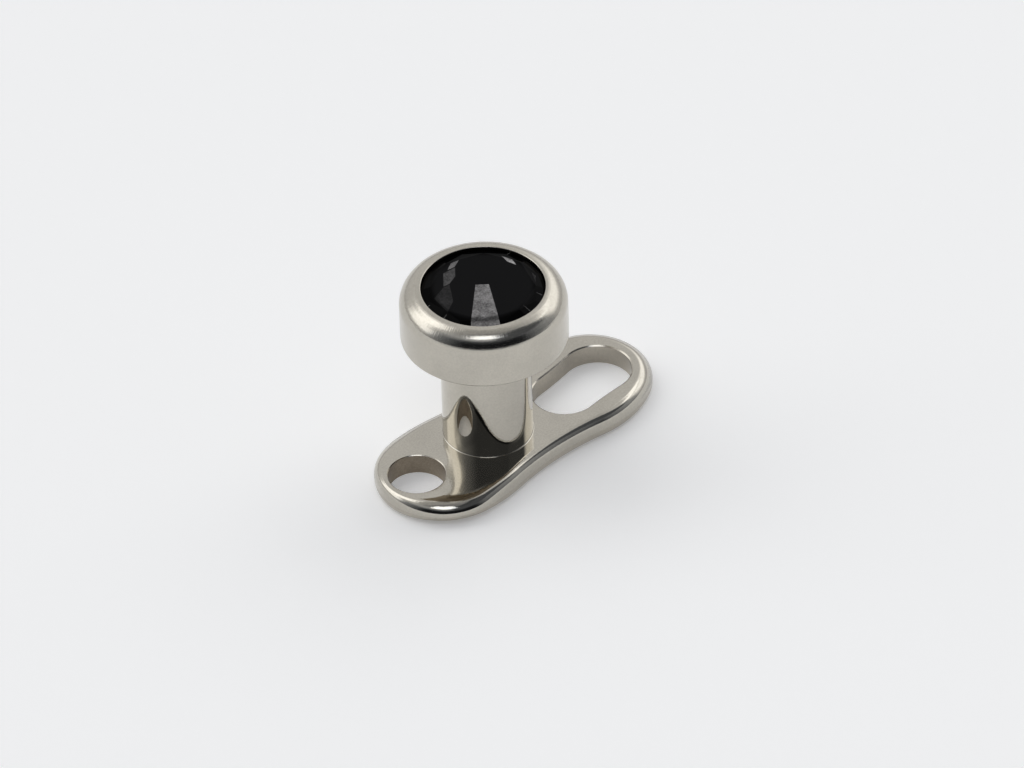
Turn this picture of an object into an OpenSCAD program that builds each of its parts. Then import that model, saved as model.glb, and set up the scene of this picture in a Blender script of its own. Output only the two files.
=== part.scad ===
// Dermal anchor with a gem top: a foot plate and post in one piece, a plain
// stem down the post, a rounded bezel cup on top and a faceted round stone.
// Millimetres. The origin is on the post's axis, on the underside of the foot.
// +X runs along the foot towards its large slot and +Z runs up the post.

/* [Foot plate] */
// Thickness of the foot
foot_t = 0.54; // [0.5:0.02:0.8]
// Reach of the end with the round hole, from the post's axis
small_end_x = 3.32; // [3.2:0.02:3.8]
// Radius of the end with the round hole
small_end_r = 1.65; // [1.4:0.05:1.8]
// Radius of the flatter flank beside the end with the round hole
small_flank_r = 6; // [4:0.5:9]
// Reach of the end with the slot, from the post's axis
large_end_x = 4.72; // [4.6:0.02:5.4]
// Radius of the end with the slot
large_end_r = 1.54; // [1.4:0.02:1.7]
// Radius of the flatter flank beside the slot
large_flank_r = 2.7; // [2:0.1:4]
// Radius of the hollow curve of the waist
waist_r = 7.7; // [5:0.1:12]
// Sideways shift of the foot's middle line from the post's axis
foot_shift = -0.18; // [-0.3:0.02:0.1]
// Rounding of the foot's upper edge
edge_top = 0.22; // [0.1:0.01:0.3]
// Rounding of the foot's lower edge
edge_bottom = 0.2; // [0.05:0.01:0.2]

/* [Openings in the foot] */
// Distance of the round hole from the post's axis
hole_x = 2.35; // [2.2:0.01:2.5]
// Radius of the round hole
hole_r = 0.69; // [0.4:0.01:0.72]
// Distance of the slot's narrow end centre from the post's axis
slot_near_x = 2.21; // [2.1:0.01:2.5]
// Distance of the slot's wide end centre from the post's axis
slot_far_x = 3.36; // [3:0.01:3.45]
// Sideways place of the slot's narrow end centre
slot_near_y = -0.37; // [-0.4:0.01:0]
// Sideways place of the slot's wide end centre
slot_far_y = -0.28; // [-0.4:0.01:0]
// Radius of the slot's narrow end
slot_near_r = 0.8; // [0.6:0.01:0.86]
// Radius of the slot's wide end
slot_far_r = 0.85; // [0.7:0.01:0.92]
// Radius of the slot's slightly hollow sides
slot_side_r = 10; // [6:0.5:20]
// Rounding of the rims of the round hole
rim_r = 0.03; // [0.02:0.01:0.1]

/* [Post] */
// Radius of the post
post_r = 1.08; // [0.95:0.01:1.2]
// Height of the post above the foot
post_h = 2.92; // [2:0.05:4]
// Radius of the fillet at the post's foot
post_fillet = 0.04; // [0.03:0.01:0.12]

/* [Stem] */
// Radius of the stem under the cup
stem_r = 0.6; // [0.4:0.02:0.7]
// Length of stem inside the post
stem_in_post = 1.8; // [1:0.05:1.9]
// Length of stem inside the cup
stem_in_cup = 0.3; // [0.2:0.01:0.34]

/* [Cup] */
// Radius of the cup
cup_r = 2; // [1.9:0.05:2.5]
// Height of the cup
cup_h = 1.42; // [1.4:0.02:1.8]
// Width of the rounded shoulder, seen from above
shoulder_w = 0.5; // [0.3:0.01:0.5]
// Height of the rounded shoulder
shoulder_h = 0.5; // [0.3:0.01:0.6]
// Rounding of the cup's lower edge
cup_edge_r = 0.05; // [0.02:0.01:0.1]

/* [Stone] */
// Radius of the opening that shows the stone
opening_r = 1.475; // [1.4:0.005:1.5]
// Radius of the stone at its girdle
stone_r = 1.55; // [1.54:0.01:1.6]
// Radius of the circle through the table's corners
table_r = 1.24; // [1:0.01:1.3]
// Height of the crown above the girdle
crown_h = 0.13; // [0.12:0.01:0.18]
// Height of the girdle
girdle_h = 0.06; // [0.04:0.01:0.1]
// Depth of the pavilion under the girdle
pavilion_h = 0.72; // [0.5:0.01:0.75]
// Radius of the small flat at the stone's lowest point
culet_r = 0.1; // [0.05:0.01:0.2]
// Tilt of the star facets round the table, in degrees
star_tilt = 12; // [8:1:14]
// Main facets round the crown
stone_mains = 8; // [7:1:10]

/* [Fit] */
// Gap between pieces that meet
gap = 0.02; // [0.01:0.005:0.03]

/* [Hidden] */
$fn = 96;

steel = [0.70, 0.69, 0.65];
steel_dark = [0.58, 0.57, 0.53];
jet = [0.06, 0.06, 0.07];

arc_step = 15;      // degrees between the points of a rounded edge
plan_step = 4;      // degrees between the points of a plan outline
lap = 0.05;         // how far the edge strips and the plate's core overlap
ring_t = 0.002;     // thickness of the slices that the stone's facets span
reach = 0.1;        // how far a cutting tool stands past a face

post_top = foot_t + post_h;
cup_z = post_top + gap;
top_z = cup_z + cup_h;
bore_r = stem_r + gap;
girdle_top = top_z - crown_h;
girdle_bottom = girdle_top - girdle_h;
culet_z = girdle_bottom - pavilion_h;
// The crown's height at the lip, which the lip's inner face ends just above
crown_at_lip = top_z - crown_h * (opening_r - table_r) / (stone_r - table_r);

// Where each end arc turns into its flank, in degrees from the foot's own line
small_turn = 88;
large_turn = 63;

function direction(from, to) = atan2(to.y - from.y, to.x - from.x);
function around(c, r, a) = [c.x + r * cos(a), c.y + r * sin(a)];

// Centre of the circle that keeps the distances da and db from a and b,
// on the left hand of the way from a to b
function apex(a, da, b, db) =
    let (d = b - a, l = norm(d), u = d / l,
         x = (da * da - db * db + l * l) / (2 * l), h = sqrt(da * da - x * x))
    a + x * u + h * [-u.y, u.x];

// The foot's upper outline, from its small end to its large end, as tangent
// arcs of the form [centre, radius, first angle, last angle, metal inside]
small_c = [small_end_r - small_end_x, 0];
large_c = [large_end_x - large_end_r, 0];
small_flank_c = around(small_c, small_end_r - small_flank_r, 180 - small_turn);
large_flank_c = around(large_c, large_end_r - large_flank_r, large_turn);
waist_c = apex(small_flank_c, small_flank_r + waist_r,
               large_flank_c, large_flank_r + waist_r);
foot_arcs = [
    [small_c, small_end_r, 180, 180 - small_turn, true],
    [small_flank_c, small_flank_r, 180 - small_turn, direction(small_flank_c, waist_c), true],
    [waist_c, waist_r, direction(small_flank_c, waist_c) + 180,
     direction(waist_c, large_flank_c) + 360, false],
    [large_flank_c, large_flank_r, direction(large_flank_c, waist_c), large_turn, true],
    [large_c, large_end_r, large_turn, 0, true]];

// The slot's outline, in a frame whose X runs from its narrow to its wide end
slot_near = [slot_near_x, slot_near_y];
slot_far = [slot_far_x, slot_far_y];
slot_l = norm(slot_far - slot_near);
side_c = apex([0, 0], slot_near_r + slot_side_r, [slot_l, 0], slot_far_r + slot_side_r);
slot_arcs = [
    [[0, 0], slot_near_r, 180, direction([0, 0], side_c), true],
    [side_c, slot_side_r, direction([0, 0], side_c) + 180,
     direction(side_c, [slot_l, 0]) + 360, false],
    [[slot_l, 0], slot_far_r, direction([slot_l, 0], side_c), 0, true]];

// Points of a chain of arcs set back by inset, closed by its mirror image
function arc_points(arc, inset) =
    let (n = max(2, ceil(abs(arc[3] - arc[2]) / plan_step)),
         r = arc[4] ? arc[1] - inset : arc[1] + inset)
    [for (i = [0:n]) around(arc[0], r, arc[2] + (arc[3] - arc[2]) * i / n)];
function upper_points(arcs, inset) =
    [for (i = [0:len(arcs) - 1])
        let (p = arc_points(arcs[i], inset))
        for (j = [i == 0 ? 0 : 1:len(p) - 1]) p[j]];
function outline(arcs, inset) =
    let (p = upper_points(arcs, inset), n = len(p))
    concat(p, [for (i = [n - 2:-1:1]) [p[i].x, -p[i].y]]);

// A side view of an edge: the metal reaches from -w to 0, rounded at 0
function edge_profile(w, t, top, bottom) = concat(
    [[-w, t], [-w, 0]],
    [for (a = [0:arc_step:90]) [bottom * (sin(a) - 1), bottom * (1 - cos(a))]],
    [for (a = [0:arc_step:90]) [top * (cos(a) - 1), t - top * (1 - sin(a))]]);

// A side view of a cutting tool: it reaches from -w to 0 and flares by r at
// the faces of a plate of thickness t
function flare_profile(w, t, r) = concat(
    [[-w, t + reach], [-w, -reach], [r, -reach]],
    [for (a = [0:arc_step:90]) [r * (1 - sin(a)), r * (1 - cos(a))]],
    [for (a = [0:arc_step:90]) [r * (1 - cos(a)), t - r * (1 - sin(a))]],
    [[r, t + reach]]);

// Sweeps a side view round one arc, on the side of it that holds the metal
module sweep_arc(arc, profile) {
    turned = arc[4] ? 1 : -1;
    translate([arc[0].x, arc[0].y, 0])
        rotate_extrude(angle = abs(arc[3] - arc[2]), start = min(arc[2], arc[3]))
            polygon([for (p = profile) [arc[1] + turned * p.x, p.y]]);
}

module both_sides() {
    children();
    mirror([0, 1, 0]) children();
}

module foot_plate() {
    setback = max(edge_top, edge_bottom) + lap;
    linear_extrude(foot_t) polygon(outline(foot_arcs, setback));
    both_sides()
        for (arc = foot_arcs)
            sweep_arc(arc, edge_profile(setback + lap, foot_t, edge_top, edge_bottom));
}

module slot_tool() {
    translate([0, 0, -reach])
        linear_extrude(foot_t + 2 * reach) polygon(outline(slot_arcs, 0));
}

module hole_tool() {
    rotate_extrude() {
        polygon([for (p = flare_profile(hole_r, foot_t, rim_r)) [hole_r + p.x, p.y]]);
    }
}

module post() {
    rotate_extrude() {
        polygon(concat(
            [[0, foot_t - edge_top], [post_r + post_fillet, foot_t - edge_top]],
            [for (a = [0:arc_step:90])
                [post_r + post_fillet * (1 - sin(a)), foot_t + post_fillet * (1 - cos(a))]],
            [[post_r, post_top], [0, post_top]]));
    }
}

module anchor() {
    color(steel)
    difference() {
        union() {
            difference() {
                translate([0, foot_shift, 0]) foot_plate();
                translate([-hole_x, 0, 0]) hole_tool();
                translate([slot_near.x, slot_near.y, 0])
                    rotate([0, 0, direction(slot_near, slot_far)]) slot_tool();
            }
            post();
        }
        translate([0, 0, post_top - stem_in_post - gap])
            cylinder(h = stem_in_post + gap + reach, r = bore_r);
    }
}

module threaded_stem() {
    color(steel_dark)
    translate([0, 0, post_top - stem_in_post])
        cylinder(h = stem_in_post + gap + stem_in_cup, r = stem_r);
}

module top_cup() {
    shoulder = [for (a = [0:arc_step / 2:90])
        [cup_r - shoulder_w * (1 - cos(a)), top_z - shoulder_h * (1 - sin(a))]];
    lower_edge = [for (a = [0:arc_step:90])
        [cup_r - cup_edge_r * (1 - sin(a)), cup_z + cup_edge_r * (1 - cos(a))]];
    color(steel)
    difference() {
        rotate_extrude()
            polygon(concat([[0, cup_z]], lower_edge, shoulder, [[0, top_z]]));
        rotate_extrude()
            polygon([
                [0, culet_z - gap],
                [culet_r + gap, culet_z - gap],
                [stone_r + gap, girdle_bottom - gap],
                [stone_r + gap, girdle_top + gap],
                [opening_r, crown_at_lip + gap],
                [opening_r, top_z + reach],
                [0, top_z + reach]]);
        translate([0, 0, cup_z - reach])
            cylinder(h = reach + stem_in_cup + gap, r = bore_r);
    }
}

// A thin flat slice with corners, which the stone's facets are stretched over
module cut_ring(r, z, corners, turn) {
    rotate([0, 0, turn]) translate([0, 0, z])
        linear_extrude(ring_t) circle(r = r, $fn = corners);
}

module stone() {
    half_step = 180 / stone_mains;
    // the table's flat sides, and the outer tips of the star facets on them
    table_side = table_r * cos(half_step);
    star_r = (table_side + stone_r) / 2;
    star_z = top_z - (star_r - table_side) * tan(star_tilt);
    color(jet)
    hull() {
        cut_ring(table_r, top_z - ring_t, stone_mains, 0);
        cut_ring(star_r, star_z - ring_t, stone_mains, half_step);
        cut_ring(stone_r, girdle_top - ring_t, 2 * stone_mains, 0);
        cut_ring(stone_r, girdle_bottom, 2 * stone_mains, 0);
        cut_ring(culet_r, culet_z, 2 * stone_mains, 0);
    }
}

anchor();
threaded_stem();
top_cup();
stone();
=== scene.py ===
"""Looks for a dermal anchor: a polished foot plate and post, a round bezel cup and a black faceted stone."""

import math

import bpy
from mathutils import Matrix, Vector
from mathutils.geometry import delaunay_2d_cdt


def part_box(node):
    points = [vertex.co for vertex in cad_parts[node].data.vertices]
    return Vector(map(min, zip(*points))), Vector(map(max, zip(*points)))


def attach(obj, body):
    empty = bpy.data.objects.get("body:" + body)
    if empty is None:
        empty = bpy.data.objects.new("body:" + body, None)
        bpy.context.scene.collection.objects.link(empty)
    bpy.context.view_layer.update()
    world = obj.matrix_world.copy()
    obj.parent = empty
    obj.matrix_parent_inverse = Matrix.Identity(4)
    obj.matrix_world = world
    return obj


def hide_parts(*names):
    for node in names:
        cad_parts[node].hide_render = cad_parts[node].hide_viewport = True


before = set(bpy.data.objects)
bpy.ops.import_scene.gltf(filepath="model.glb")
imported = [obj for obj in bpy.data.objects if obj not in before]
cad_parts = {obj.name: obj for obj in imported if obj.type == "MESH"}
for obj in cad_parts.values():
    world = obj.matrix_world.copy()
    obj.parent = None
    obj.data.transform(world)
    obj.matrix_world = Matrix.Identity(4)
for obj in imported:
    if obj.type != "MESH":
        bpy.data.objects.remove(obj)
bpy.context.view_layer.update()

bl_info = {
    "name": "Dermal anchor with gem top",
    "version": (1, 0, 0),
    "blender": (4, 5, 0),
    "location": "View3D > Sidebar > Anchor",
    "description": "Builds the anchor, its bezel cup, its stone and the photo stage",
    "category": "Object",
}

MM = 0.001
IMAGE_WIDTH = 1024
FOOT_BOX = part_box("anchor")
CUP_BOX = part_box("top_cup")
STONE_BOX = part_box("stone")
STEM_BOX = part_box("threaded_stem")

# Space between two fitted pieces
CLEARANCE = 0.02 * MM
# Fineness of the meshes: degrees between the points of an outline, points round a circle
# and steps round an edge
FOOT_STEP, SLOT_STEP = 1.5, 3
HOLE_POINTS, POST_POINTS, CUP_POINTS = 128, 192, 256
EDGE_STEPS, RIM_STEPS, FILLET_STEPS, POST_EDGE_STEPS = 16, 2, 6, 4
CUP_EDGE_STEPS, SHOULDER_STEPS, LIP_STEPS = 6, 24, 5
# Tilts of a turned surface, in degrees up from outwards
OUTWARDS, UPWARDS, INWARDS, DOWNWARDS = 0, 90, 180, -90
LIP_UNDERSIDE = 247
# Degrees that the end arcs of the foot's outline turn before the flanks begin
SMALL_TURN, LARGE_TURN = 88, 63
# Stretch along the foot where the small end's rounding turns into the large end's
TIP_CHANGE = (-2.5 * MM, -0.9 * MM)
# Share of the way to an opening's rim that the outer rounding may take
RIM_SHARE = 0.7
# How satin each surface is, from 0 for a mirror to 1 for a dull wall; satin faces are also drawn
# darker and browner, partly their real unpolished finish and partly painted shade
SATIN = {
    "foot top": 0.1,
    "foot upper edge": 0.14,
    "foot side": 0.45,
    "foot underside": 0.3,
    "upper rim": 0.4,
    "lower rim": 0.5,
    "slot wall": 0.52,
    "hole wall": 1.0,
    "cup shoulder": 0.2,
    "cup side": 0.25,
    "cup lower edge": 0.3,
    # Also the cup's underside, drawn dark and brown as painted shade
    "hidden wall and cup underside": 1.0,
}
# Shares of red, green and blue that a dull face keeps: partly the real unpolished finish, partly painted
# shade on the walls of the openings and under the cup
WORN_AND_SHADED = (1.0, 0.9, 0.8)
# Shares of the metal's colour, polished and dull, where its mottling is light and where dark
LIGHT_SHARES, DARK_SHARES = (1.06, 0.74), (0.92, 0.5)
# Roughness of a mirror, and what satin, grain on satin and each kind of turning mark add to it
MIRROR, SATIN_ADDS, GRAIN_ADDS, MARK_ADDS = 0.03, 0.34, 0.12, 0.05
# Noise scales of the metal and of the stone, per metre, and of the streaks round the axis
CLOUD_SCALE, GRAIN_SCALE, LINE_SCALE, STREAK_SCALE = 1500.0, 22000.0, 26000.0, 2500.0
STONE_CLOUD_SCALE, SPECKLE_SCALE = 5000.0, 24000.0
STREAKS_ROUND = 60.0
# Height of one unit of bump, and in such units the grain, the turned lines and the streaks
BUMP_UNIT = 0.01 * MM
GRAIN_BUMP, LINE_BUMP, STREAK_BUMP = 0.4, 0.15, 0.2
# Dish polished down round the hole: its width, and its depth in units of bump
DISH_WIDTH, DISH_DEPTH = 0.5 * MM, 1.8
FLOOR_GLOW = 0.22


def length(name, description, default):
    """A property that holds a size in metres."""
    return bpy.props.FloatProperty(
        name=name, description=description, default=default, unit="LENGTH", precision=6)


def colour(name, description, default):
    """A property that holds a colour."""
    return bpy.props.FloatVectorProperty(
        name=name, description=description, default=default, size=3, subtype="COLOR", min=0, max=1)


def amount(name, description, default):
    """A property that holds a plain number."""
    return bpy.props.FloatProperty(name=name, description=description, default=default)


class FootSizes(bpy.types.PropertyGroup):
    """Sizes of the foot plate and of its openings."""
    thickness: length("Thickness", "Thickness of the foot plate", 0.54 * MM)
    small_end: length("Small end", "Reach of the end with the round hole", -FOOT_BOX[0].x)
    small_end_r: length("Small end radius", "Radius of the end with the round hole", 1.65 * MM)
    small_flank_r: length("Small flank radius", "Radius of the flank beside the round hole", 6 * MM)
    large_end: length("Large end", "Reach of the end with the slot", FOOT_BOX[1].x)
    large_end_r: length("Large end radius", "Radius of the end with the slot", 1.54 * MM)
    large_flank_r: length("Large flank radius", "Radius of the flank beside the slot", 2.7 * MM)
    waist_r: length("Waist radius", "Radius of the hollow curve of the waist", 7.7 * MM)
    shift: length("Shift", "Sideways shift of the foot from the post", (FOOT_BOX[0].y + FOOT_BOX[1].y) / 2)
    edge_top: length("Upper edge", "Height of the rounding of the upper edge", 0.27 * MM)
    edge_width: length("Upper edge width", "Width of the rounding of the upper edge", 0.34 * MM)
    edge_lean: amount("Upper edge lean", "How much sooner the shading of the upper edge leans outwards", 1.5)
    tip_width: length("Upper tip width", "Width of the same rounding at the small end", 0.52 * MM)
    tip_lean: amount("Tip lean", "The lean at the small end", 1.2)
    edge_bottom: length("Lower edge", "Rounding of the lower edge", 0.2 * MM)
    tip_bottom: length("Lower tip", "Height of the lower edge's rounding at the small end", 0.26 * MM)
    tip_bottom_width: length("Lower tip width", "Width of that rounding", 0.42 * MM)
    hole: length("Hole place", "Distance of the round hole from the post", 2.35 * MM)
    hole_r: length("Hole radius", "Radius of the round hole", 0.69 * MM)
    hole_rim: length("Hole rim", "Rounding of the rim of the round hole", 0.017 * MM)
    slot_near_x: length("Slot near end across", "Place of the slot's narrow end along the foot", 2.21 * MM)
    slot_near_y: length("Slot near end aside", "Place of the slot's narrow end across the foot", -0.37 * MM)
    slot_far_x: length("Slot far end across", "Place of the slot's wide end along the foot", 3.36 * MM)
    slot_far_y: length("Slot far end aside", "Place of the slot's wide end across the foot", -0.28 * MM)
    slot_near_r: length("Slot near radius", "Radius of the slot's narrow end", 0.8 * MM)
    slot_far_r: length("Slot far radius", "Radius of the slot's wide end", 0.85 * MM)
    slot_side_r: length("Slot side radius", "Radius of the slot's hollow sides", 10 * MM)
    slot_rim: length("Slot rim", "Rounding of the rim of the slot", 0.028 * MM)
    rim_lean: amount("Rim lean", "Upward lean of the rims' bright bevel, in degrees", 53)


class PostSizes(bpy.types.PropertyGroup):
    """Sizes of the post."""
    radius: length("Radius", "Radius of the post", 1.08 * MM)
    fillet: length("Fillet", "Radius of the fillet at the post's foot", 0.022 * MM)
    top_edge: length("Top edge", "Rounding of the post's top edge", 0.03 * MM)


class CupSizes(bpy.types.PropertyGroup):
    """Sizes of the bezel cup."""
    shoulder_w: length("Shoulder width", "Width of the rounded shoulder", 0.5 * MM)
    shoulder_h: length("Shoulder height", "Height of the rounded shoulder", 0.5 * MM)
    lower_edge: length("Lower edge", "Rounding of the lower edge", 0.05 * MM)
    opening_r: length("Opening radius", "Radius of the opening over the stone", 1.475 * MM)
    lip: length("Lip", "Rounding of the lip over the stone", 0.02 * MM)


class StoneSizes(bpy.types.PropertyGroup):
    """Sizes of the stone."""
    radius: length("Radius", "Radius of the girdle", 1.55 * MM)
    table_r: length("Table radius", "Radius of the circle through the table's corners", 1.24 * MM)
    crown: length("Crown", "Height of the crown over the girdle", 0.13 * MM)
    girdle: length("Girdle", "Height of the girdle", 0.06 * MM)
    culet_r: length("Culet radius", "Radius of the small flat at the lowest point", 0.1 * MM)
    mains: bpy.props.IntProperty(name="Main facets", description="Main facets round the crown", default=8)
    star_tilt: amount("Star tilt", "Tilt of the star facets, in degrees", 12)


class FinishColours(bpy.types.PropertyGroup):
    """Colours of the metal and of the stone."""
    steel: colour("Steel", "Warm grey of the polished metal", (0.515, 0.488, 0.43))
    stem: colour("Stem", "Grey of the hidden stem", (0.36, 0.35, 0.32))
    jet: colour("Jet", "Black of the stone", (0.0008, 0.0008, 0.0009))
    # Haze: a painted glow, the dark grey drawn inside the table for the stone's faint light there
    painted_table_glow: colour("Haze", "Dark grey of the stone inside its table", (0.008, 0.008, 0.0084))
    # Gleam: the grey of the painted reflections and painted glints on the stone's top
    painted_gleam: colour("Gleam", "Grey of the brightest facet that shines through the stone", (0.5, 0.485, 0.48))
    floor: colour("Floor", "White of the floor", (0.93, 0.93, 0.93))


class StageSettings(bpy.types.PropertyGroup):
    """Camera and light."""
    azimuth: amount("Azimuth", "Direction of the camera, in degrees", -43.14)
    elevation: amount("Elevation", "Height of the camera, in degrees", 39.787)
    roll: amount("Roll", "Roll of the camera, in degrees", -1.879)
    distance: length("Distance", "Distance of the camera", 250 * MM)
    aim_z: length("Aim height", "Height of the point that the camera looks at", 2.445 * MM)
    slide_x: length("Slide across", "Sideways slide of the view", -0.6209 * MM)
    slide_y: length("Slide up", "Upward slide of the view", 0.4154 * MM)
    pixel_focus: amount("Focal length in pixels", "Focal length in pixels of a 1024 wide image", 10558.3)


class Socket:
    """A node's output, with arithmetic that adds Math nodes."""

    def __init__(self, tree, out):
        self.tree, self.out = tree, out

    def maths(self, operation, *others):
        """One Math node on this value and others."""
        return self.tree.add("ShaderNodeMath", {"operation": operation}, dict(enumerate((self, *others))))

    def __add__(self, other):
        return self.maths("ADD", other)

    def __sub__(self, other):
        return self.maths("SUBTRACT", other)

    def __rsub__(self, other):
        return self.tree.add("ShaderNodeMath", {"operation": "SUBTRACT"}, {0: other, 1: self})

    def __mul__(self, other):
        return self.maths("MULTIPLY", other)

    __radd__ = __add__
    __rmul__ = __mul__

    def over(self, low, high):
        """0 below low, 1 above high and a smooth step between."""
        settings = {"interpolation_type": "SMOOTHSTEP"}
        inputs = {"Value": self, "From Min": low, "From Max": high}
        return self.tree.add("ShaderNodeMapRange", settings, inputs)

    def within(self, ends, soft):
        """1 between two ends and 0 a soft edge outside them."""
        low, high = ends
        return self.over(low - soft, low) * (1 - self.over(high, high + soft))

    def stepped(self, start, steps):
        """A start value, changed by each smooth step of low, high and change that this value passes."""
        total = start
        for low, high, change in steps:
            total = total + self.over(low, high) * change
        return total


class NodeTree:
    """A shader's node tree."""

    def __init__(self, owner):
        owner.use_nodes = True
        self.nodes, self.links = owner.node_tree.nodes, owner.node_tree.links
        self.nodes.clear()

    def add(self, kind, settings=None, inputs=None, output=0):
        """Adds a node, sets it, fills its sockets and returns one output."""
        node = self.nodes.new(kind)
        for name, value in (settings or {}).items():
            setattr(node, name, value)
        for name, value in (inputs or {}).items():
            if isinstance(value, Socket):
                self.links.new(value.out, node.inputs[name])
            else:
                node.inputs[name].default_value = value
        return Socket(self, node.outputs[output]) if len(node.outputs) else None

    def place(self):
        """Coordinates in the object's own frame."""
        return self.add("ShaderNodeTexCoord", output="Object")

    def axes(self, vector):
        """The three parts of a vector."""
        split = self.add("ShaderNodeSeparateXYZ", None, {0: vector})
        return [Socket(self, out) for out in split.out.node.outputs]

    def vector(self, *parts):
        """A vector of two or three parts."""
        return self.add("ShaderNodeCombineXYZ", None, dict(enumerate(parts)))

    def noise(self, place, scale, detail):
        """Smooth noise over a place."""
        return self.add("ShaderNodeTexNoise", None, {"Vector": place, "Scale": scale, "Detail": detail})

    def face_value(self, name):
        """The value that each face of the mesh carries under a name."""
        return self.add("ShaderNodeAttribute", {"attribute_name": name}, output="Fac")

    def mix(self, factor, low, high):
        """A colour between low and high."""
        settings = {"data_type": "RGBA"}
        return self.add("ShaderNodeMix", settings, {0: factor, 6: low, 7: high}, output=2)

    def surface(self, shader):
        """Gives the tree its output."""
        self.add("ShaderNodeOutputMaterial", None, {"Surface": shader})


def rgba(shade, share=1.0):
    """A colour with full alpha, made lighter or darker by a share."""
    return (*[c * share for c in shade], 1.0)


def from_axis(x, y):
    """The distance of x, y from the axis, as a shader value."""
    return (x * x + y * y).maths("POWER", 0.5)


def anticlockwise(corners):
    """Whether a flat outline runs anticlockwise."""
    return sum(a.x * b.y - b.x * a.y for a, b in zip(corners, corners[1:] + corners[:1])) > 0


class Loop:
    """A closed loop of mesh points, each with the normal that it shows."""

    def __init__(self, points, normals):
        self.points, self.normals = points, normals


def cut_plan(outlines, lines=()):
    """Cuts closed outlines, in millimetres, and lines between their corners into triangles.

    Returns the corners, the triangles, the given corners that each corner comes from and the
    outlines that each triangle lies in.
    """
    plan, spans = [], []
    for corners in outlines:
        span = list(range(len(plan), len(plan) + len(corners)))
        plan.extend(Vector(c) for c in corners)
        spans.append(span if anticlockwise([plan[i] for i in span]) else span[::-1])
    edges = [edge for span in spans for edge in zip(span, span[1:] + span[:1])]
    found = delaunay_2d_cdt(plan, [*edges, *lines], spans, 1, 1e-9)
    return found[0], found[2], found[3], found[5]


class Shell:
    """A mesh made of bands and flats, with its own shading normals and a satin share for each face."""

    def __init__(self):
        self.points, self.faces, self.normals, self.satin = [], [], [], []

    def ring(self, places, normals):
        """Adds a loop of new points."""
        first = len(self.points)
        self.points.extend(places)
        return Loop(list(range(first, len(self.points))), normals)

    def add(self, corners, normals, satin):
        """Adds one face."""
        self.faces.append(corners)
        self.normals.append(normals)
        self.satin.append(satin)

    def bands(self, loops, satin=0.0):
        """Quads between each loop and the next, all of the same count."""
        for low, high in zip(loops, loops[1:]):
            for i in range(len(low.points)):
                j = (i + 1) % len(low.points)
                corners = [low.points[i], low.points[j], high.points[j], high.points[i]]
                self.add(corners, [low.normals[i], low.normals[j], high.normals[j], high.normals[i]], satin)

    def flat(self, outer, holes, up, satin=0.0):
        """A level face with holes."""
        loops = [outer, *holes]
        used = [i for loop in loops for i in loop.points]
        outlines = [[(self.points[i][0] / MM, self.points[i][1] / MM) for i in loop.points] for loop in loops]
        _, triangles, origins, sources = cut_plan(outlines)
        normal = (0, 0, 1 if up else -1)
        for corners, inside in zip(triangles, sources):
            if list(inside) != [0]:
                continue
            corners = [used[origins[c][0]] for c in corners]
            self.add(corners if up else corners[::-1], [normal] * 3, satin)

    def build(self, name):
        """The finished object."""
        mesh = bpy.data.meshes.new(name)
        mesh.from_pydata(self.points, [], self.faces)
        mesh.shade_smooth()
        mesh.normals_split_custom_set([n for face in self.normals for n in face])
        return placed_piece(name, mesh, "satin", self.satin)


def placed_piece(name, mesh, attribute, values):
    """The object of a mesh, with a value for each face."""
    mesh.attributes.new(attribute, "FLOAT", "FACE").data.foreach_set("value", values)
    mesh.validate()
    obj = bpy.data.objects.new(name, mesh)
    bpy.context.collection.objects.link(obj)
    return obj


def direction(start, end):
    """Angle of the way from start to end, in degrees."""
    return math.degrees(math.atan2(end[1] - start[1], end[0] - start[0]))


def around(centre, radius, angle):
    """The point of a circle at an angle in degrees."""
    turn = math.radians(angle)
    return (centre[0] + radius * math.cos(turn), centre[1] + radius * math.sin(turn))


def apex(a, da, b, db):
    """The point at distances da and db from a and b, on the left of the way from a to b."""
    start, way = Vector(a), Vector(b) - Vector(a)
    u = way.normalized()
    x = (da * da - db * db + way.length ** 2) / (2 * way.length)
    return tuple(start + x * u + math.sqrt(da * da - x * x) * Vector((-u.y, u.x)))


def chain(arcs, step):
    """Points and outward directions along arcs of centre, radius, first and last angle, metal inside."""
    upper = []
    for number, (centre, radius, first, last, inside) in enumerate(arcs):
        count = max(2, math.ceil(abs(last - first) / step))
        for i in range(0 if number == 0 else 1, count + 1):
            angle = first + (last - first) * i / count
            way = around((0, 0), 1 if inside else -1, angle)
            upper.append((around(centre, radius, angle), way))
    lower = [((p[0], -p[1]), (w[0], -w[1])) for p, w in upper[-2:0:-1]]
    return (upper + lower)[::-1]


def foot_arcs(foot):
    """The foot's upper outline as tangent arcs, about its own middle line."""
    small = (foot.small_end_r - foot.small_end, 0)
    large = (foot.large_end - foot.large_end_r, 0)
    small_flank = around(small, foot.small_end_r - foot.small_flank_r, 180 - SMALL_TURN)
    large_flank = around(large, foot.large_end_r - foot.large_flank_r, LARGE_TURN)
    waist = apex(small_flank, foot.small_flank_r + foot.waist_r,
                 large_flank, foot.large_flank_r + foot.waist_r)
    return [
        (small, foot.small_end_r, 180, 180 - SMALL_TURN, True),
        (small_flank, foot.small_flank_r, 180 - SMALL_TURN, direction(small_flank, waist), True),
        (waist, foot.waist_r, direction(small_flank, waist) + 180,
         direction(waist, large_flank) + 360, False),
        (large_flank, foot.large_flank_r, direction(large_flank, waist), LARGE_TURN, True),
        (large, foot.large_end_r, LARGE_TURN, 0, True),
    ]


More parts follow.
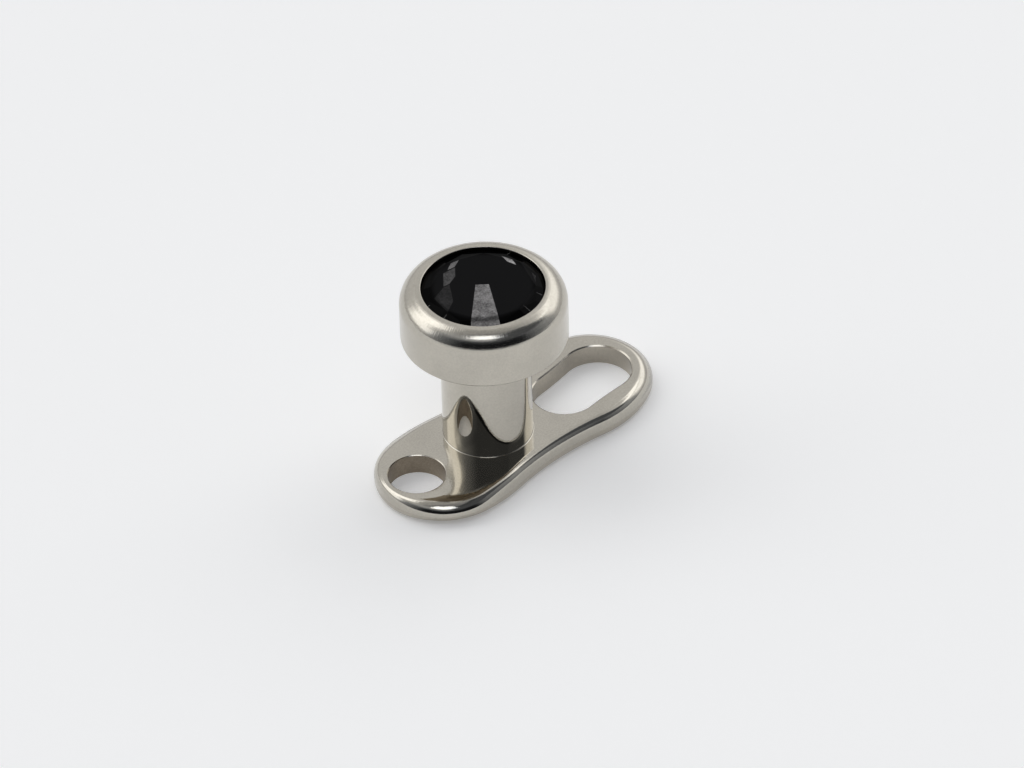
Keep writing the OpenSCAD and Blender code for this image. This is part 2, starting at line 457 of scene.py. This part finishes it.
def slot_arcs(foot, span):
    """The slot's outline, about the line from its narrow to its wide end."""
    side = apex((0, 0), foot.slot_near_r + foot.slot_side_r, (span, 0), foot.slot_far_r + foot.slot_side_r)
    return [
        ((0, 0), foot.slot_near_r, 180, direction((0, 0), side), True),
        (side, foot.slot_side_r, direction((0, 0), side) + 180, direction(side, (span, 0)) + 360, False),
        ((span, 0), foot.slot_far_r, direction((span, 0), side), 0, True),
    ]


def circle_path(radius, count):
    """Points and outward directions round a circle."""
    angles = [360 * i / count for i in range(count)]
    return [(around((0, 0), radius, angle), around((0, 0), 1, angle)) for angle in angles]


def placed(path, x, y, turn=0):
    """A path moved to x, y after a turn in degrees."""
    c, s = math.cos(math.radians(turn)), math.sin(math.radians(turn))
    return [((x + p[0] * c - p[1] * s, y + p[0] * s + p[1] * c), (w[0] * c - w[1] * s, w[0] * s + w[1] * c))
            for p, w in path]


def inverted(path):
    """The path of an opening: outward from the metal is into the opening."""
    return [(p, (-w[0], -w[1])) for p, w in path[::-1]]


def leaning(path, rise):
    """The outward directions of a path, tilted up by rise degrees."""
    level, up = math.cos(math.radians(rise)), math.sin(math.radians(rise))
    return [(w[0] * level, w[1] * level, up) for p, w in path]


def ease(value, low, high):
    """0 below low, 1 above high and a smooth step between."""
    share = min(1, max(0, (value - low) / (high - low)))
    return share * share * (3 - 2 * share)


def along(path, small_end, large_end):
    """A size at each place of the foot's outline, from the small end's to the large end's."""
    return [small_end + (large_end - small_end) * ease(p[0], *TIP_CHANGE) for p, w in path]


def even(path, size):
    """The width and the height of a rounding that is the same all the way."""
    return [size] * len(path), [size] * len(path)


def edge_ring(shell, path, level, side, turn, section, leans):
    """A loop of a rounded edge beside the face at a level, elliptical in section.

    side is 1 at an upper face and -1 at a lower one; turn is 90 or -90 at the face and 0 at the side.
    leans makes the shading of an upper edge lean outwards sooner, as a buffed edge does.
    """
    places, normals = [], []
    for (p, w), width, height, rate in zip(path, *section, leans):
        inset = width * (1 - math.cos(turn))
        places.append((p[0] - inset * w[0], p[1] - inset * w[1], level + height * (math.sin(turn) - side)))
        lean = math.atan2(math.cos(turn) / width, math.sin(turn) / height)
        if side > 0:
            lean = min(math.pi / 2, lean * rate)
        normals.append((w[0] * math.sin(lean), w[1] * math.sin(lean), math.cos(lean)))
    return shell.ring(places, normals)


def edge_rings(shell, path, top_z, steps, upper, lower, leans=None):
    """Loops from the upper face to the lower face round a rounded edge."""
    leans = leans or [1.0] * len(path)
    turns = [math.radians(90 - 90 * i / steps) for i in range(steps + 1)]
    rings = [edge_ring(shell, path, top_z, 1, turn, upper, leans) for turn in turns]
    return rings + [edge_ring(shell, path, 0, -1, -turn, lower, leans) for turn in reversed(turns)]


def edge_widths(path, rims, widths):
    """Widths of the outer rounding, narrower where an opening's rim comes near."""
    return [min([width] + [math.dist(p, rim[:2]) * RIM_SHARE for rim in rims])
            for (p, w), width in zip(path, widths)]


class Lathe:
    """Loops of a turned piece."""

    def __init__(self, shell, count):
        self.shell, self.count = shell, count

    def at(self, radius, z, tilt):
        """A loop at a radius and height, with normals tilted up by tilt degrees from outwards."""
        path = circle_path(radius, self.count)
        return self.shell.ring([(*p, z) for p, w in path], leaning(path, tilt))

    def again(self, loop, tilt):
        """The same loop with other normals, for a sharp edge."""
        return Loop(loop.points, leaning(circle_path(1, self.count), tilt))

    def quarter(self, radius, z, size_r, size_z, first, last, steps):
        """Loops round part of an ellipse about radius, z, from one angle to another."""
        loops = []
        for i in range(steps + 1):
            angle = math.radians(first + (last - first) * i / steps)
            out, rise = size_r * math.cos(angle), size_z * math.sin(angle)
            tilt = math.degrees(math.atan2(math.sin(angle) / size_z, math.cos(angle) / size_r))
            loops.append(self.at(radius + out, z + rise, tilt))
        return loops


def build_anchor(foot, post):
    """The foot plate with its openings, and the post with its bore, in one piece."""
    shell = Shell()
    top_z = FOOT_BOX[1].z
    outer = placed(chain(foot_arcs(foot), FOOT_STEP), 0, foot.shift)
    near, far = (foot.slot_near_x, foot.slot_near_y), (foot.slot_far_x, foot.slot_far_y)
    span = math.dist(near, far)
    slot = inverted(placed(chain(slot_arcs(foot, span), SLOT_STEP), *near, direction(near, far)))
    hole = inverted(placed(circle_path(foot.hole_r, HOLE_POINTS), -foot.hole, 0))
    slot_rim, hole_rim = even(slot, foot.slot_rim), even(hole, foot.hole_rim)
    slot_rings = edge_rings(shell, slot, foot.thickness, RIM_STEPS, slot_rim, slot_rim)
    hole_rings = edge_rings(shell, hole, foot.thickness, RIM_STEPS, hole_rim, hole_rim)
    rims = [shell.points[i] for i in (*slot_rings[0].points, *hole_rings[0].points)]
    upper = (edge_widths(outer, rims, along(outer, foot.tip_width, foot.edge_width)),
             [foot.edge_top] * len(outer))
    lower = (edge_widths(outer, rims, along(outer, foot.tip_bottom_width, foot.edge_bottom)),
             along(outer, foot.tip_bottom, foot.edge_bottom))
    leans = along(outer, foot.tip_lean, foot.edge_lean)
    outer_rings = edge_rings(shell, outer, foot.thickness, EDGE_STEPS, upper, lower, leans)
    lathe = Lathe(shell, POST_POINTS)
    fillet = lathe.quarter(post.radius + post.fillet, foot.thickness + post.fillet,
                           post.fillet, post.fillet, -90, -180, FILLET_STEPS)
    for loop in fillet:
        loop.normals = [(-n[0], -n[1], -n[2]) for n in loop.normals]
    root = lathe.at(post.radius + post.fillet, foot.thickness - foot.edge_top, OUTWARDS)
    edge = lathe.quarter(post.radius - post.top_edge, top_z - post.top_edge,
                         post.top_edge, post.top_edge, OUTWARDS, UPWARDS, POST_EDGE_STEPS)
    bore_r = STEM_BOX[1].x + CLEARANCE
    mouth = lathe.at(bore_r, top_z, UPWARDS)
    bore = lathe.at(bore_r, STEM_BOX[0].z - CLEARANCE, INWARDS)
    shell.flat(root, [], False)
    shell.bands([root, lathe.again(fillet[0], OUTWARDS)])
    shell.bands([*fillet, *edge, mouth])
    shell.bands([lathe.again(mouth, INWARDS), bore], SATIN["hidden wall and cup underside"])
    shell.flat(bore, [], True, SATIN["hidden wall and cup underside"])
    shell.flat(outer_rings[0], [slot_rings[0], hole_rings[0]], True, SATIN["foot top"])
    shell.flat(outer_rings[-1], [slot_rings[-1], hole_rings[-1]], False, SATIN["foot underside"])
    middle = len(outer_rings) // 2
    shell.bands(outer_rings[middle - 1::-1], SATIN["foot upper edge"])
    shell.bands(outer_rings[:middle - 2:-1], SATIN["foot side"])
    for path, rings, wall in ((slot, slot_rings, "slot wall"), (hole, hole_rings, "hole wall")):
        middle = len(rings) // 2
        chamfer = leaning(path, foot.rim_lean)
        shell.bands([Loop(ring.points, chamfer) for ring in rings[middle - 1::-1]], SATIN["upper rim"])
        shell.bands(rings[middle:middle - 2:-1], SATIN[wall])
        shell.bands(rings[:middle - 1:-1], SATIN["lower rim"])
    return shell.build("polished_anchor")


def build_cup(cup, stone):
    """The bezel cup, with its seat for the stone."""
    shell = Shell()
    lathe = Lathe(shell, CUP_POINTS)
    radius, low, high = CUP_BOX[1].x, CUP_BOX[0].z, CUP_BOX[1].z
    bore_r = STEM_BOX[1].x + CLEARANCE
    girdle_r = stone.radius + CLEARANCE
    girdle_top = high - stone.crown
    edge = cup.lower_edge
    lower = lathe.quarter(radius - edge, low + edge, edge, edge, DOWNWARDS, OUTWARDS, CUP_EDGE_STEPS)
    shoulder = lathe.quarter(radius - cup.shoulder_w, high - cup.shoulder_h,
                             cup.shoulder_w, cup.shoulder_h, OUTWARDS, UPWARDS, SHOULDER_STEPS)
    lip = lathe.quarter(cup.opening_r + cup.lip, high - cup.lip,
                        cup.lip, cup.lip, UPWARDS, INWARDS, LIP_STEPS)
    mouth = lathe.at(bore_r, low, DOWNWARDS)
    socket = lathe.at(bore_r, STEM_BOX[1].z + CLEARANCE, INWARDS)
    lip_share = (cup.opening_r - stone.table_r) / (stone.radius - stone.table_r)
    lip_foot = lathe.at(cup.opening_r, high - stone.crown * lip_share + CLEARANCE, INWARDS)
    under_lip = lathe.at(girdle_r, girdle_top + CLEARANCE, INWARDS)
    under_girdle = lathe.at(girdle_r, girdle_top - stone.girdle - CLEARANCE, INWARDS)
    seat_depth = girdle_top - stone.girdle - STONE_BOX[0].z
    seat_tilt = math.degrees(math.atan2(stone.radius - stone.culet_r, -seat_depth))
    seat = lathe.at(stone.culet_r + CLEARANCE, STONE_BOX[0].z - CLEARANCE, seat_tilt)
    hidden_and_shaded = SATIN["hidden wall and cup underside"]
    # The cup's underside takes the darkest dull colour as painted shade under the cup
    shell.bands([mouth, lower[0]], hidden_and_shaded)
    shell.bands(lower, SATIN["cup lower edge"])
    shell.bands([lower[-1], shoulder[0]], SATIN["cup side"])
    shell.bands([*shoulder, *lip, lip_foot], SATIN["cup shoulder"])
    shell.bands([lathe.again(lip_foot, LIP_UNDERSIDE), lathe.again(under_lip, LIP_UNDERSIDE)], hidden_and_shaded)
    shell.bands([under_lip, under_girdle], hidden_and_shaded)
    shell.bands([lathe.again(under_girdle, seat_tilt), seat], hidden_and_shaded)
    shell.flat(seat, [], True, hidden_and_shaded)
    shell.bands([socket, lathe.again(mouth, INWARDS)], hidden_and_shaded)
    shell.flat(socket, [], False, hidden_and_shaded)
    return shell.build("bezel_cup")


# Painted reflections of the lower facets, drawn as grey patches on the stone's top: share of
# the brightest grey, then corners in millimetres, across and away from the front of the jewel
PAINTED_GLEAMS = [
    (0.42, [(-0.32, -1.43), (0.39, -1.43), (0.14, 0.067), (-0.175, 0.067)]),
    (0.05, [(-1.153, -0.387), (-0.851, -0.926), (-0.711, -0.522), (-0.787, 0.1), (-0.927, 0.0)]),
    (0.13, [(-0.927, 0.03), (-0.787, 0.13), (-0.647, 0.404), (-0.647, 0.73), (-0.927, 0.522)]),
    (0.36, [(-0.657, 0.755), (-0.55, 1.01), (-0.744, 0.892), (-0.83, 0.64)]),
    (0.9, [(0.453, 1.128), (0.593, 0.892), (0.797, 0.758), (0.70, 0.976)]),
    (0.12, [(1.15, 0.505), (1.24, 0.084), (1.25, 0.354)]),
]
# Painted glints along the crown's edges, drawn as grey strips: share of the brightest grey,
# direction from the front in degrees, inner and outer end in millimetres
PAINTED_GLINTS = [(0.2, -66, 1.38, 1.5), (0.16, -42, 1.3, 1.46), (0.14, 51, 1.2, 1.4),
          (0.18, 78, 1.28, 1.42), (0.2, 154, 1.36, 1.5)]


def painted_gleam_outlines(azimuth):
    """The painted gleams and glints, with their outlines turned towards the front of the jewel."""
    shapes = list(PAINTED_GLEAMS)
    for share, turn, near, far in PAINTED_GLINTS:
        shapes.append((share, [around((0, 0), r, turn - 90 + side) for r, side in
                               ((near, -0.5), (far, -0.5), (far, 0.5), (near, 0.5))]))
    c, s = math.cos(math.radians(azimuth)), math.sin(math.radians(azimuth))
    return [(share, [(x * c - y * s, x * s + y * c) for x, y in corners]) for share, corners in shapes]


def build_stone(stone, azimuth):
    """The stone: table, stars, kites and halves, girdle, pavilion and culet.

    Its top is cut into faces that each carry a share of painted reflection.
    """
    count = stone.mains
    top, low = STONE_BOX[1].z, STONE_BOX[0].z
    half = 180 / count
    side = stone.table_r * math.cos(math.radians(half))
    star_r = (side + stone.radius) / 2
    star_z = top - (star_r - side) * math.tan(math.radians(stone.star_tilt))
    girdle_top = top - stone.crown
    girdle_low = girdle_top - stone.girdle

    def corners(radius, z, number, turn):
        return [Vector((*around((0, 0), radius, turn + 360 * i / number), z)) for i in range(number)]

    table, stars = corners(stone.table_r, top, count, 0), corners(star_r, star_z, count, half)
    upper = corners(stone.radius, girdle_top, 2 * count, 0)
    slopes, edges = [(table[0], Vector((0, 0, 1)))], []
    for k in range(count):
        nxt, left, right = (k + 1) % count, 2 * k, 2 * k + 1
        for facet in ((table[k], stars[k], table[nxt]), (table[k], upper[left], stars[k]),
                      (table[nxt], stars[k], upper[2 * nxt]), (stars[k], upper[left], upper[right]),
                      (stars[k], upper[right], upper[2 * nxt])):
            normal = (facet[1] - facet[0]).cross(facet[2] - facet[0])
            slopes.append((facet[0], normal if normal.z > 0 else -normal))
        stars_at, table_at = 3 * count + k, 2 * count + k
        edges += [(stars_at, table_at), (stars_at, 2 * count + nxt), (table_at, left),
                  (stars_at, left), (stars_at, right), (stars_at, 2 * nxt)]
    # The painted reflections and painted glints are cut into the top as faces of their own
    shapes = painted_gleam_outlines(azimuth)
    rings = [[(p.x / MM, p.y / MM) for p in ring] for ring in (upper, table, stars)]
    places, triangles, origins, sources = cut_plan(rings + [outline for share, outline in shapes], edges)

    def height(x, y):
        """Height of the lowest facet plane over a place."""
        return min(p.z - ((x - p.x) * n.x + (y - p.y) * n.y) / n.z for p, n in slopes)

    points, faces, painted_gleam_shares, made = [tuple(p) for p in upper], [], [], []
    for place, given in zip(places, origins):
        rim = [g for g in given if g < 2 * count]
        made.append(rim[0] if rim else len(points))
        if not rim:
            x, y = place.x * MM, place.y * MM
            points.append((x, y, height(x, y)))
    for triangle, inside in zip(triangles, sources):
        shares = [shapes[i - len(rings)][0] for i in inside if i >= len(rings)]
        faces.append([made[i] for i in triangle])
        painted_gleam_shares.append(shares[0] if shares else 0.0)
    below = []
    for ring in (corners(stone.radius, girdle_low, 2 * count, 0), corners(stone.culet_r, low, 2 * count, 0)):
        below.append(list(range(len(points), len(points) + 2 * count)))
        points.extend(tuple(p) for p in ring)
    bands = [list(range(2 * count)), *below]
    for high, deep in zip(bands, bands[1:]):
        for k in range(2 * count):
            nxt = (k + 1) % (2 * count)
            faces.append([high[k], deep[k], deep[nxt], high[nxt]])
    faces.append(bands[-1][::-1])
    painted_gleam_shares.extend([0.0] * (len(faces) - len(painted_gleam_shares)))
    mesh = bpy.data.meshes.new("black_stone")
    mesh.from_pydata(points, [], faces)
    return placed_piece("black_stone", mesh, "painted_gleam", painted_gleam_shares)


def principled(tree, base, metallic, roughness, normal, extra):
    """A Principled shader with its sockets filled."""
    sockets = {"Base Color": base, "Metallic": metallic, "Roughness": roughness, **extra}
    if normal is not None:
        sockets["Normal"] = normal
    return tree.add("ShaderNodeBsdfPrincipled", None, sockets)


def polished_metal(name, shade, turned=False, dish=None):
    """Polished metal, satin where its faces say so, with turning marks or a dish round the hole.

    Satin faces are drawn darker and browner: partly their real finish, partly painted shade.

    dish is the hole's place along the foot and its radius.
    """
    material = bpy.data.materials.new(name)
    tree = NodeTree(material)
    place = tree.place()
    x, y, z = tree.axes(place)
    satin = tree.face_value("satin")
    cloud, grain = tree.noise(place, CLOUD_SCALE, 3.0), tree.noise(place, GRAIN_SCALE, 2.0)
    mottle = cloud.over(0.3, 0.7) * 0.45 + grain.over(0.3, 0.7) * 0.55
    # Painted shade in part: satin faces, most of all the walls of the openings and the cup's underside, drawn
    # darker
    dull_and_shaded = satin.over(0.2, 1.0)
    worn_and_shaded = [c * share for c, share in zip(shade, WORN_AND_SHADED)]
    light, dark = (tree.mix(dull_and_shaded, rgba(shade, polished), rgba(worn_and_shaded, rough))
                   for polished, rough in (LIGHT_SHARES, DARK_SHARES))
    tint = tree.mix(mottle, dark, light)
    roughness = MIRROR + satin * SATIN_ADDS + grain * satin * GRAIN_ADDS
    height = grain * (0.05 + satin) * GRAIN_BUMP
    if turned:
        radius, angle = from_axis(x, y), y.maths("ARCTAN2", x)
        section = tree.vector(radius * LINE_SCALE, z * LINE_SCALE)
        rays = tree.vector(angle * STREAKS_ROUND, radius * STREAK_SCALE, z * STREAK_SCALE)
        lines, streaks = tree.noise(section, 1.0, 3.0), tree.noise(rays, 1.0, 2.0)
        roughness = roughness + lines * MARK_ADDS + streaks * MARK_ADDS
        height = height + lines * LINE_BUMP + streaks * STREAK_BUMP
    if dish:
        hole_x, hole_r = dish
        height = height + from_axis(x - hole_x, y).over(hole_r, hole_r + DISH_WIDTH) * DISH_DEPTH
    bump = tree.add("ShaderNodeBump", None, {"Strength": 1.0, "Distance": BUMP_UNIT, "Height": height})
    tree.surface(principled(tree, tint, 1.0, roughness, bump, {}))
    return material


def jet_stone(name, colours, table_r):
    """Black stone with a painted glow inside its table and painted reflections of its lower facets in grey.
    """
    material = bpy.data.materials.new(name)
    tree = NodeTree(material)
    place = tree.place()
    x, y, _ = tree.axes(place)
    radius = from_axis(x, y)
    # Painted reflections: each face's share of the painted grey, mottled, and darker in a painted band near
    # the table's edge
    speckle = tree.noise(place, SPECKLE_SCALE, 3.0)
    cloud = tree.noise(place, STONE_CLOUD_SCALE, 3.0)
    patchy = 0.45 + speckle.over(0.3, 0.7) * 0.6 + cloud.over(0.35, 0.65) * 0.5
    painted_dark_band = radius.within((1.2 * MM, 1.24 * MM), 0.1 * MM)
    share = tree.face_value("painted_gleam") * patchy * (1 - painted_dark_band * 0.6)
    # Painted glow inside the table, fading to black towards its edge
    painted_table_glow = tree.mix(radius.over(table_r * 0.88, table_r * 1.03), rgba(colours.painted_table_glow), rgba(colours.jet))
    tint = tree.mix(share, painted_table_glow, rgba(colours.painted_gleam))
    tree.surface(principled(tree, tint, 0.0, 0.04, None, {"IOR": 1.6, "Specular IOR Level": 0.015}))
    return material


def floor_finish(shade):
    """Matt white floor that glows a little."""
    material = bpy.data.materials.new("white_floor")
    tree = NodeTree(material)
    glow = {"Specular IOR Level": 0.0, "Emission Color": rgba(shade), "Emission Strength": FLOOR_GLOW}
    tree.surface(principled(tree, rgba(shade), 0.0, 0.9, None, glow))
    return material


def stand_for(obj, node):
    """Lets a piece stand for a solid, with its body."""
    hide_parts(node)
    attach(obj, "root")


class AnchorOperator(bpy.types.Operator):
    """Builds the foot plate and post."""
    bl_idname = "anchor.foot_and_post"
    bl_label = "Foot plate and post"

    def execute(self, context):
        scene = context.scene
        foot = scene.foot_sizes
        obj = build_anchor(foot, scene.post_sizes)
        dish = (-foot.hole, foot.hole_r)
        obj.data.materials.append(polished_metal("polished_metal", scene.finish_colours.steel, dish=dish))
        stand_for(obj, "anchor")
        return {"FINISHED"}


class StemOperator(bpy.types.Operator):
    """Finishes the hidden stem."""
    bl_idname = "anchor.stem"
    bl_label = "Stem"

    def execute(self, context):
        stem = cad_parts["threaded_stem"]
        material = polished_metal("turned_stem", context.scene.finish_colours.stem, turned=True)
        for slot in stem.material_slots:
            slot.material = material
        return {"FINISHED"}


class CupOperator(bpy.types.Operator):
    """Builds the bezel cup."""
    bl_idname = "anchor.cup"
    bl_label = "Bezel cup"

    def execute(self, context):
        scene = context.scene
        obj = build_cup(scene.cup_sizes, scene.stone_sizes)
        obj.data.materials.append(polished_metal("turned_metal", scene.finish_colours.steel, turned=True))
        stand_for(obj, "top_cup")
        return {"FINISHED"}


class StoneOperator(bpy.types.Operator):
    """Builds the black stone."""
    bl_idname = "anchor.stone"
    bl_label = "Stone"

    def execute(self, context):
        scene = context.scene
        obj = build_stone(scene.stone_sizes, scene.stage_settings.azimuth)
        obj.data.materials.append(jet_stone("black_stone", scene.finish_colours, scene.stone_sizes.table_r))
        stand_for(obj, "stone")
        return {"FINISHED"}


class StageOperator(bpy.types.Operator):
    """Sets the floor, the light and the camera."""
    bl_idname = "anchor.stage"
    bl_label = "Stage"

    def execute(self, context):
        scene = context.scene
        build_floor(scene.finish_colours.floor)
        build_world(scene)
        build_camera(scene.stage_settings)
        return {"FINISHED"}


def build_floor(shade):
    """A wide white floor just under the foot."""
    half, z = 600 * MM, -0.01 * MM
    corners = [(-half, -half, z), (half, -half, z), (half, half, z), (-half, half, z)]
    mesh = bpy.data.meshes.new("floor")
    mesh.from_pydata(corners, [], [(0, 1, 2, 3)])
    floor = bpy.data.objects.new("floor", mesh)
    mesh.materials.append(floor_finish(shade))
    bpy.context.collection.objects.link(floor)


# Soft boxes of the light tent: spans of azimuth from the front and of elevation, widths of the
# soft edges at the sides and at the ends, all in degrees, and brightness
LEFT_BOXES = [((-140, -104), (46, 63), 18, 8, 1.25),
              ((-112, -84), (16, 32), 16, 8, 1.0),
              ((-120, -96), (32, 42), 14, 6, 1.2)]
RIGHT_BOXES = [((120, 160), (26, 36), 18, 12, 0.9),
               ((116, 156), (44, 49), 8, 4, 1.2)]
TOP_BOXES = [((-27, 25), (61, 75), 8, 5, 2.2)]
DARK_PATCHES = [((20, 100), (40, 68), 10, 8, 0.85)]
# Start value, then smooth steps from one angle to another in degrees with the change of each:
# brightness of the walls up the tent, and the share of dark studio from left to right and up
WALLS = (0.6, [(4, 18, 0.14), (55, 75, -0.3)])
DARK_LEFT = (0.0, [(-90, -58, 0.68), (-66, -26, 0.3)])
DARK_RIGHT = (1.0, [(48, 70, -0.25), (66, 100, -0.3), (99, 110, -0.45)])
DARK_FOOT = (0.0, [(-6, 8, 1.0)])
DARK_TOP = (1.0, [(34, 40, -0.1), (40, 56, -0.5)])
DARK_TINT = (0.82, 0.88, 1.0)


def brightest(azimuth, elevation, boxes):
    """The brightest of some soft boxes in each direction."""
    light = None
    for sides, ends, soft_side, soft_end, brightness in boxes:
        box = azimuth.within(sides, soft_side) * elevation.within(ends, soft_end) * brightness
        light = box if light is None else light.maths("MAXIMUM", box)
    return light


def build_world(scene):
    """A light tent: grey walls, soft boxes on three sides and a dark studio round the camera."""
    world = bpy.data.worlds.new("light_tent")
    scene.world = world
    scene.view_settings.view_transform = "Standard"
    tree = NodeTree(world)
    x, y, z = tree.axes(tree.add("ShaderNodeTexCoord", output="Generated"))
    turn = math.radians(scene.stage_settings.azimuth)
    front = x * math.sin(turn) - y * math.cos(turn)
    right = x * math.cos(turn) + y * math.sin(turn)
    azimuth = right.maths("ARCTAN2", front).maths("DEGREES")
    elevation = z.maths("ARCSINE").maths("DEGREES")
    dark = azimuth.stepped(*DARK_LEFT) * azimuth.stepped(*DARK_RIGHT)
    dark = dark * elevation.stepped(*DARK_FOOT) * elevation.stepped(*DARK_TOP)
    dark = dark.maths("MAXIMUM", brightest(azimuth, elevation, DARK_PATCHES))
    shade = elevation.stepped(*WALLS) * (1 - dark)
    for boxes in (LEFT_BOXES, RIGHT_BOXES, TOP_BOXES):
        shade = shade + brightest(azimuth, elevation, boxes)
    tint = tree.mix(dark, rgba((1, 1, 1)), rgba(DARK_TINT))
    background = tree.add("ShaderNodeBackground", None, {"Color": tint, "Strength": shade})
    tree.add("ShaderNodeOutputWorld", None, {"Surface": background})


def build_camera(stage):
    """The camera at the photo's angle."""
    az, el, roll = (math.radians(v) for v in (stage.azimuth, stage.elevation, stage.roll))
    back = Vector((math.sin(az) * math.cos(el), -math.cos(az) * math.cos(el), math.sin(el)))
    level = Vector((math.cos(az), math.sin(az), 0))
    rise = back.cross(level)
    right = level * math.cos(roll) + rise * math.sin(roll)
    up = rise * math.cos(roll) - level * math.sin(roll)
    data = bpy.data.cameras.new("camera")
    data.sensor_width = 36
    data.lens = stage.pixel_focus * data.sensor_width / IMAGE_WIDTH
    data.clip_start, data.clip_end = 0.01, 10
    camera = bpy.data.objects.new("camera", data)
    turn = Matrix((right, up, back)).transposed().to_4x4()
    place = Vector((0, 0, stage.aim_z)) + back * stage.distance - right * stage.slide_x - up * stage.slide_y
    camera.matrix_world = Matrix.Translation(place) @ turn
    bpy.context.collection.objects.link(camera)
    bpy.context.scene.camera = camera


class AnchorPanel(bpy.types.Panel):
    """Lists the steps that build the jewel."""
    bl_idname = "VIEW3D_PT_anchor"
    bl_label = "Dermal anchor"
    bl_space_type = "VIEW_3D"
    bl_region_type = "UI"
    bl_category = "Anchor"

    def draw(self, context):
        for operator in OPERATORS:
            self.layout.operator(operator.bl_idname)


GROUPS = {
    "foot_sizes": FootSizes,
    "post_sizes": PostSizes,
    "cup_sizes": CupSizes,
    "stone_sizes": StoneSizes,
    "finish_colours": FinishColours,
    "stage_settings": StageSettings,
}
OPERATORS = [StageOperator, AnchorOperator, StemOperator, CupOperator, StoneOperator]


def register():
    """Adds the property groups, the operators and the panel."""
    for name, group in GROUPS.items():
        bpy.utils.register_class(group)
        setattr(bpy.types.Scene, name, bpy.props.PointerProperty(type=group))
    for kind in (*OPERATORS, AnchorPanel):
        bpy.utils.register_class(kind)


def unregister():
    """Takes them away again."""
    for kind in (AnchorPanel, *reversed(OPERATORS)):
        bpy.utils.unregister_class(kind)
    for name, group in GROUPS.items():
        delattr(bpy.types.Scene, name)
        bpy.utils.unregister_class(group)


def main():
    """Builds everything in order."""
    register()
    bpy.ops.anchor.stage()
    bpy.ops.anchor.foot_and_post()
    bpy.ops.anchor.stem()
    bpy.ops.anchor.cup()
    bpy.ops.anchor.stone()


if __name__ == "__main__":
    main()
